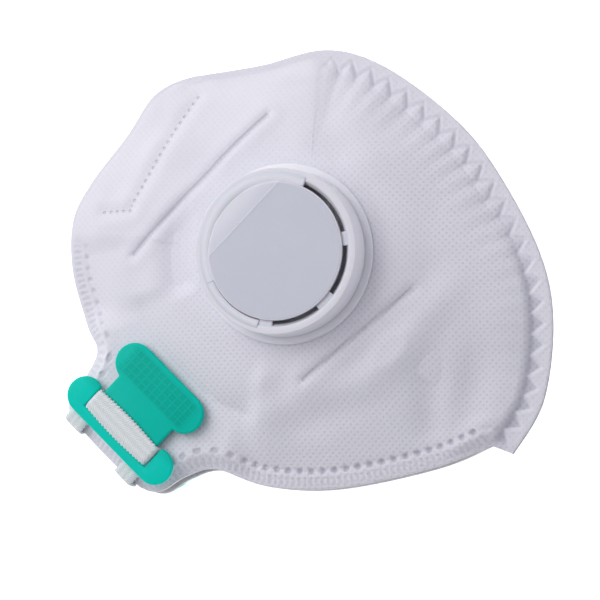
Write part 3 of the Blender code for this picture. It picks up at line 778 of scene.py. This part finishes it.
def nose_pieces(side_name, side):
    """The metal strip just under the cover, and the foam strip on the lining's inner face."""
    strip_in_cloth(f"nose_clip_{side_name}", CLIP_LINE, *CLIP_SIZE, side, METAL, "clip_metal",
                   "outer_cover", 0.12)
    foam = strip_in_cloth(f"nose_foam_{side_name}", FOAM_LINE, *FOAM_SIZE, side, FOAM, "foam",
                          "inner_lining", 0.02)


def seam_band():
    """The fused rim between the halves: a thin strip with a slightly wavy outer edge."""
    count = 700
    line = evenly(SEAM, count)
    ahead = directions(line)
    outward = np.column_stack([ahead[:, 1], -ahead[:, 0]])
    outward *= np.sign((outward * line).sum(1).mean())
    s = lengths_along(line)[:, None]
    taper = smoothstep(s, 0, 4) * (1 - smoothstep(s, s[-1] - 4, s[-1]))
    wave = 0.06 * np.sin(s * 2 * math.pi / 3.3) + 0.03 * np.sin(s * 2 * math.pi / 1.3)
    across = np.array([[-5.5, -2.0, 0.05, 0.2, 0.05, -2.0, -5.5]])
    height = np.array([[0.1, 0.24, 0.2, 0.0, -0.2, -0.24, -0.1]])
    offset = across * (0.3 + 0.7 * taper) + wave * taper * (across > 0)
    x = line[:, :1] + outward[:, :1] * offset
    y = line[:, 1:] + outward[:, 1:] * offset
    z = height * np.ones_like(x)
    welded = {"weld": np.full(x.size, 0.25), "weld_tone_and_painted_shade": np.zeros(x.size)}
    points = np.stack([x, y, z], -1)
    made = piece("seam_band_visual", points, tube_faces(*x.shape), FLEECE, welded)
    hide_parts("seam_band")
    hinge_blend(made)


def fabric():
    """Four layers to a half, the covers finer than the rest, and the right half's open at the valve."""
    finishes = dict(zip(LAYERS, (FLEECE, WADDING, FILTER, LINING)))
    for side_name, side in HALVES:
        for layer, finish in finishes.items():
            fine = layer == "outer_cover"
            spokes = (900 if side > 0 else 700) if fine else 320
            rings = ((58, 26) if side > 0 else (46, 26)) if fine else (22, 8)
            hole = HOLE_RADIUS if side > 0 else 0.4
            half_layer(layer, side_name, side, spokes, *rings, hole, finish)
    seam_band()


# ---- the valve ----

BORE_RADIUS, SPIGOT_RADIUS = 13.2, 14.4


def revolved(profile, steps=160, first=0.0, last=360.0):
    """A closed (radius, height) profile carried round the valve's axis, or over an arc of it with ends."""
    profile = np.array(profile, float)
    whole = last - first >= 360
    turn = np.radians(np.linspace(first, last, steps, endpoint=not whole))[:, None]
    r, z = profile[:, 0][None], profile[:, 1][None]
    points = np.stack([r * np.cos(turn), r * np.sin(turn), z + 0 * turn], -1)
    n = len(profile)
    if whole:
        points = np.concatenate([points, points[:1]])
        quads = grid_faces(steps + 1, n, wrap=True) % (steps * n)
        return points[:-1], quads.tolist()
    return points, tube_faces(steps, n)


def rounded_corner(before, at, after, radius, most, steps):
    """Points of the parabola that rounds a corner, using at most this share of the shorter side."""
    a, b = before - at, after - at
    la, lb = np.linalg.norm(a), np.linalg.norm(b)
    cut = min(radius, la * most, lb * most)
    start, end = at + a / la * cut, at + b / lb * cut
    t = np.linspace(0, 1, steps + 1)[:, None]
    return (1 - t) ** 2 * start + 2 * t * (1 - t) * at + t**2 * end


def softened(points, radius, steps=3):
    """A closed profile with each corner rounded."""
    p = np.array(points, float)
    corners = zip(np.roll(p, 1, 0), p, np.roll(p, -1, 0))
    return np.vstack([rounded_corner(*corner, radius, 0.45, steps) for corner in corners])


def rectangle(inner, outer, low, high):
    """A closed profile from one radius to another and from one height to another."""
    return [(inner, low), (outer, low), (outer, high), (inner, high)]


def facing_out(made):
    """Turns every face of a closed piece outwards."""
    bm = bmesh.new()
    bm.from_mesh(made.data)
    bmesh.ops.remove_doubles(bm, verts=bm.verts, dist=1e-7)
    bmesh.ops.recalc_face_normals(bm, faces=bm.faces)
    bm.to_mesh(made.data)
    bm.free()
    return made


CORNERS = ((-1, -1), (1, -1), (1, 1), (-1, 1))


def beam(length, width, low, high, turn):
    """A straight bar through the valve's axis."""
    c, s = math.cos(math.radians(turn)), math.sin(math.radians(turn))
    corners = [(x * length / 2, y * width / 2, z) for z in (low, high) for x, y in CORNERS]
    points = [(x * c - y * s, x * s + y * c, z) for x, y, z in corners]
    return points, [(3, 2, 1, 0), (4, 5, 6, 7), (0, 1, 5, 4), (1, 2, 6, 5), (2, 3, 7, 6), (3, 0, 4, 7)]


def valve_seat():
    """Flange on the cloth, spigot through it, raised lip for the flap, and two bars across the bore."""
    foot, lip, flange_top = CROWN - 5.2, CROWN + 3.0, CROWN + 1.3
    profile = [(SPIGOT_RADIUS, foot), (SPIGOT_RADIUS, CROWN + 0.02), (FLANGE_RADIUS, CROWN + 0.02),
               (FLANGE_RADIUS, flange_top), (SPIGOT_RADIUS + 0.1, flange_top + 0.02),
               (SPIGOT_RADIUS + 0.1, lip), (BORE_RADIUS, lip), (BORE_RADIUS, foot)]
    profile = softened(profile, 0.4)
    bars = [beam(2 * BORE_RADIUS + 0.2, 1.6, CROWN + 0.3, CROWN + 1.7, turn) for turn in (0, 90)]
    made = piece("valve_seat_visual", *joined(revolved(profile, 200), *bars), PAINTED_LIGHTER_WHITE)
    return facing_out(made)


# The vent slots' first and last angles, in degrees. The chord crosses the lid at this height in plan.
SLOTS = [(-201, -149), (-138, -98), (-82, -42), (-31, 21)]
LID_RADIUS, LID_WALL, SLOT_RADIUS, CHORD_Y = 19.4, 1.4, 21.2, 13.0


def lid_top():
    """The lid as rows across it: flat to the chord, then a plane falling away beyond a small step."""
    rows = LID_RADIUS * np.sin(np.radians(np.linspace(-89.5, 89.5, 150)))
    by_chord = CHORD_Y + np.array([-0.35, -0.12, 0, 0.12, 0.35])
    rows = np.sort(np.r_[rows, by_chord])[:, None]
    share = np.sin(np.radians(np.linspace(-90, 90, 61)))[None]
    y = rows + 0 * share
    x = share * np.sqrt(LID_RADIUS**2 - rows**2)
    beyond = np.maximum(y - CHORD_Y, 0)
    z = LID_TOP - beyond * math.tan(math.radians(6)) - 0.2 * smoothstep(y, CHORD_Y - 0.1, CHORD_Y + 0.15)
    worn_edge = 0.1 * smoothstep(np.hypot(x, y), LID_RADIUS - 0.5, LID_RADIUS)
    return x, y, z + 0.04 * bump(y - CHORD_Y + 0.3, 0.25) - worn_edge


def lid():
    """The lid's top with a wall down from its rim and a flat underside."""
    x, y, z = lid_top()
    rows, columns = x.shape
    points = np.stack([x, y, z], -1).reshape(-1, 3)
    faces = grid_faces(rows, columns)
    index = np.arange(rows * columns).reshape(rows, columns)
    ring = np.r_[index[0], index[1:, -1], index[-1, -2::-1], index[-2:0:-1, 0]]
    rim = points[ring]
    foot = np.column_stack([rim[:, :2], np.full(len(ring), LID_TOP - LID_WALL)])
    points = np.vstack([points, foot, [(0, 0, LID_TOP - LID_WALL)]])
    n, first = len(ring), rows * columns
    i = np.arange(n)
    k = (i + 1) % n
    walls = np.stack([ring[i], first + i, first + k, ring[k]], -1).tolist()
    base = np.stack([first + k, first + i, np.full(n, first + n)], -1).tolist()
    return points, faces.tolist() + walls + base


def valve_cover():
    """A round cap: wall and rim, a raised lid, bridges between the slots, and one long web by the chord."""
    rim, foot = LID_TOP - 0.9, CROWN + 1.6
    wall = [(COVER_RADIUS, foot), (COVER_RADIUS - 0.1, rim), (SLOT_RADIUS, rim),
            (SLOT_RADIUS - 1.1, rim - 1.7), (SLOT_RADIUS - 0.6, foot + 1.5), (COVER_RADIUS - 1.2, foot)]
    wall = softened(wall, 0.3)
    inner, outer = LID_RADIUS - 0.3, SLOT_RADIUS + 0.3
    parts = [revolved(wall, 220), lid()]
    for (_, start), (end, _) in zip(SLOTS, SLOTS[1:]):
        bridge = softened(rectangle(inner, outer, rim - 1.25, rim - 0.25), 0.1, 1)
        parts.append(revolved(bridge, 14, start, end))
    far = SLOT_RADIUS + 0.9
    web = softened(rectangle(inner, far, rim - 1.1, rim + 0.02), 0.05, 1)
    parts.append(revolved(web, 90, SLOTS[-1][1], SLOTS[0][0] + 360))
    narrowed = softened(rectangle(LID_RADIUS + 0.3, far, rim - 1.1, rim + 0.02), 0.05, 1)
    parts.append(revolved(narrowed, 50, *SLOTS[0]))
    points, faces = joined(*parts)
    radius = np.hypot(points[:, 0], points[:, 1])
    # How much painted shade the cap's finish lays over the hollow under the lid, fading beyond the chord.
    over_hollow = 1 - smoothstep(radius, LID_RADIUS - 0.05, LID_RADIUS + 0.05)
    thin = over_hollow * (1 - 0.75 * smoothstep(points[:, 1], CHORD_Y - 1, CHORD_Y + 6))
    made = piece("valve_cover_visual", points, faces, CAP_PLASTIC, {"thin": thin})
    return facing_out(made)


def retaining_ring():
    """The flat ring pressed over the spigot's end, inside the mask."""
    top = CROWN - 4.0
    profile = softened(rectangle(SPIGOT_RADIUS + 0.3, 21.0, top - 1.2, top), 0.35)
    return facing_out(piece("valve_retaining_ring_visual", *revolved(profile), PAINTED_LIGHTER_WHITE))


def valve():
    """The valve's three fixed pieces, in place of the model's, on the half that holds them."""
    for make in (valve_seat, valve_cover, retaining_ring):
        made = make()
        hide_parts(made.name.removesuffix("_visual"))
        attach(made, "right_half")


# ---- buckles and elastic ----

LOOP_ROUTE = [(-66.6, 13.2), (-56.0, 13.4), (-46.0, 14.4), (-36.0, 16.4), (-26.0, 19.0), (-16.0, 20.8),
              (-5.0, 20.8), (6.0, 17.6), (13.6, 11.4), (16.8, 2.4), (14.2, -6.8), (7.0, -13.8), (-3.4, -17.2),
              (-15.0, -17.4), (-26.0, -15.4), (-36.0, -12.4), (-46.0, -9.8), (-56.0, -8.2), (-66.6, -8.0)]


def arc(x, y, radius, first, last, steps):
    """Points round a centre from one angle to another, in degrees."""
    turn = np.radians(np.linspace(first, last, steps))
    return list(zip(x + radius * np.cos(turn), y + radius * np.sin(turn)))


def buckle_outline():
    """An inner plate with two round lobes, a straight neck, and a hook beside each slit for the elastic."""
    slit = ELASTIC_WALL + 2 * GAP
    hook_y = NECK_HALF + slit + 2.0
    hook_cut = math.degrees(math.asin(2.0 / HOOK_LOBE))
    lobe_cut = math.degrees(math.asin(0.6 / PLATE_LOBE))
    half = arc(PLATE_X, NECK_HALF - 0.6, PLATE_LOBE, 0, 180 - lobe_cut, 22)
    half += [(HOOK_X + HOOK_LOBE, NECK_HALF), (HOOK_X - ELASTIC_WIDTH / 2 + 1.0, NECK_HALF)]
    half += [(HOOK_X - ELASTIC_WIDTH / 2 + 1.0, NECK_HALF + slit)]
    half += arc(HOOK_X, hook_y, HOOK_LOBE, -hook_cut, 180, 26)
    mirrored = [(x, -y) for x, y in reversed(half)]
    return [(x, y + BUCKLE_Y) for x, y in half + mirrored]


def extruded(flat, low, high):
    """A flat outline (x, y) carried from one height to another, closed at both ends."""
    n = len(flat)
    points = [(x, y, low) for x, y in flat] + [(x, y, high) for x, y in flat]
    sides = [(i, (i + 1) % n, n + (i + 1) % n, n + i) for i in range(n)]
    return points, [list(range(n - 1, -1, -1)), list(range(n, 2 * n)), *sides]


def buckle(side_name, side):
    """The flat outline on a pad that stands on the ear tab, leaving room under its neck for the elastic."""
    foot = TAB_TOP + GAP
    low = foot + ELASTIC_WALL + GAP
    reach, half = PLATE_LOBE - 1.2, NECK_HALF - 1.2
    pad = [(PLATE_X + x * reach, BUCKLE_Y + y * half) for x, y in CORNERS]
    body = extruded(buckle_outline(), side * low, side * (low + BUCKLE_WALL))
    points, faces = joined(body, extruded(pad, side * foot, side * (low + 0.2)))
    points += (0, 0, 0) if side > 0 else (-0.4, 0.7, 0)     # the far one is set a little nearer the nose
    made = facing_out(piece(f"buckle_{side_name}_visual", points, faces, GREEN_PLASTIC))
    rounded = made.modifiers.new("rounded", "BEVEL")
    rounded.width = 0.5 * MM
    rounded.segments = 3
    rounded.limit_method = "ANGLE"
    rounded.angle_limit = math.radians(50)
    rounded.use_clamp_overlap = True
    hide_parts(f"buckle_{side_name}")
    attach(made, f"{side_name}_half")


def ribbon(path, across, width, wall, crown):
    """A band carried along a path, across being the unit vector over its width.

    Its thickness is wall * (1 + crown * (1 - u^2)), u running from -1 to 1 over the width, and its edges are
    serrated by a sine of the distance travelled.
    """
    path, across = np.array(path, float), np.array(across, float)
    travelled = lengths_along(path)[:, None]
    ahead = directions(path)
    up = np.cross(ahead, across)
    upper = np.array([-0.96, -0.7, -0.35, 0.0, 0.35, 0.7, 0.96])
    u = np.r_[-1.0, upper, 1.0, upper[::-1]][None]
    sign = np.r_[0.0, np.ones(7), 0.0, -np.ones(7)][None]
    serration = 1 + 0.045 * np.sin(travelled * 2 * math.pi / 1.15) * (np.abs(u) > 0.9)
    half = (wall / 2) * (1 + crown * (1 - u**2)) * np.where(np.abs(u) > 0.9, 0.7, 1.0)
    points = (path[:, None] + across[:, None] * (u * width / 2 * serration)[..., None]
              + up[:, None] * (sign * half)[..., None])
    n, m = len(path), u.shape[1]
    return points, tube_faces(n, m), (u * width / 2 + 0 * travelled).ravel(), (travelled + 0 * u).ravel()


def rounded_path(corners, radius, step=0.3):
    """Straight runs with rounded turns, as evenly spaced points."""
    p = np.array(corners, float)
    turns = [rounded_corner(*corner, radius, 0.49, 8) for corner in zip(p, p[1:], p[2:])]
    path = np.vstack([p[:1], *turns, p[-1:]])
    return evenly(path, int(lengths_along(path)[-1] / step) + 2)


def elastic_band(side_name, side):
    """The held stretch: over the neck, down both slits, and round the ear tab's end in two folds."""
    middle = HOOK_X + 1.2
    under = TAB_TOP + GAP + ELASTIC_WALL / 2
    over = under + ELASTIC_WALL + 2 * GAP + BUCKLE_WALL
    reach = NECK_HALF + GAP + ELASTIC_WALL / 2
    bridge = [(middle, BUCKLE_Y + y, side * z) for y, z in
              ((-reach, under + 0.3), (-reach, over), (reach, over), (reach, under + 0.3))]
    path = rounded_path(bridge, 0.9, 0.16)
    lie = np.tile([1.0, 0, 0], (len(path), 1))
    bulge = 1 + 0.16 * np.cos((path[:, 1] - BUCKLE_Y) / reach * math.pi / 2)
    shapes = [ribbon(path, lie * bulge[:, None], ELASTIC_WIDTH, ELASTIC_WALL * 0.85, 0.35)]
    turn_x = FOLD_X + ELASTIC_WALL / 2
    for y, round_off in ((BUCKLE_Y + NECK_HALF + 0.9, 2.4), (BUCKLE_Y - NECK_HALF + 1.7, 0.8)):
        hook = [(middle + 2.6, y, side * under), (turn_x, y, side * under), (turn_x, y, side * LEG_Z),
                (LEG_END_X + 0.6, y, side * LEG_Z)]
        path = rounded_path(hook, round_off, 0.2)
        lie = np.tile([0, 1.0, 0], (len(path), 1))
        shapes.append(ribbon(path, lie, ELASTIC_WIDTH, ELASTIC_WALL * 0.9, 0.2))
    points, faces = joined(*[shape[:2] for shape in shapes])
    stored = {key: np.concatenate([shape[at] for shape in shapes])
              for key, at in (("across", 2), ("along", 3))}
    made = piece(f"elastic_band_{side_name}_visual", points, faces, ELASTIC, stored)
    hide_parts(f"elastic_band_{side_name}")
    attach(facing_out(made), f"{side_name}_half")


def elastic_loop(side_name, side):
    """The free loop lying in the fold, between the ends of the two legs."""
    plan = evenly(smooth_path(LOOP_ROUTE), 420)
    rise = smoothstep((plan[:, 0] + TAB_FLAT - 2.0) / LOOP_RUN)
    path = np.column_stack([plan, side * (LEG_Z + (LOOP_TOP - LEG_Z) * rise)])
    ahead = directions(plan)
    across = np.column_stack([-ahead[:, 1], ahead[:, 0], 0 * rise])
    points, faces, u, v = ribbon(path, across, ELASTIC_WIDTH, ELASTIC_WALL * 0.9, 0.2)
    made = piece(f"elastic_loop_{side_name}_visual", points, faces, ELASTIC, {"across": u, "along": v})
    facing_out(made)
    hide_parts(f"elastic_loop_{side_name}")
    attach(made, f"{side_name}_half")


def finish_cad_nodes():
    """The flap, seen only through the slots and the bore, keeps its own mesh and takes a finish."""
    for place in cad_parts["valve_flap"].material_slots:
        place.material = RUBBER


stage()
for each_name, each_side in HALVES:
    nose_pieces(each_name, each_side)
    elastic_loop(each_name, each_side)
    elastic_band(each_name, each_side)
    buckle(each_name, each_side)
valve()
fabric()
finish_cad_nodes()
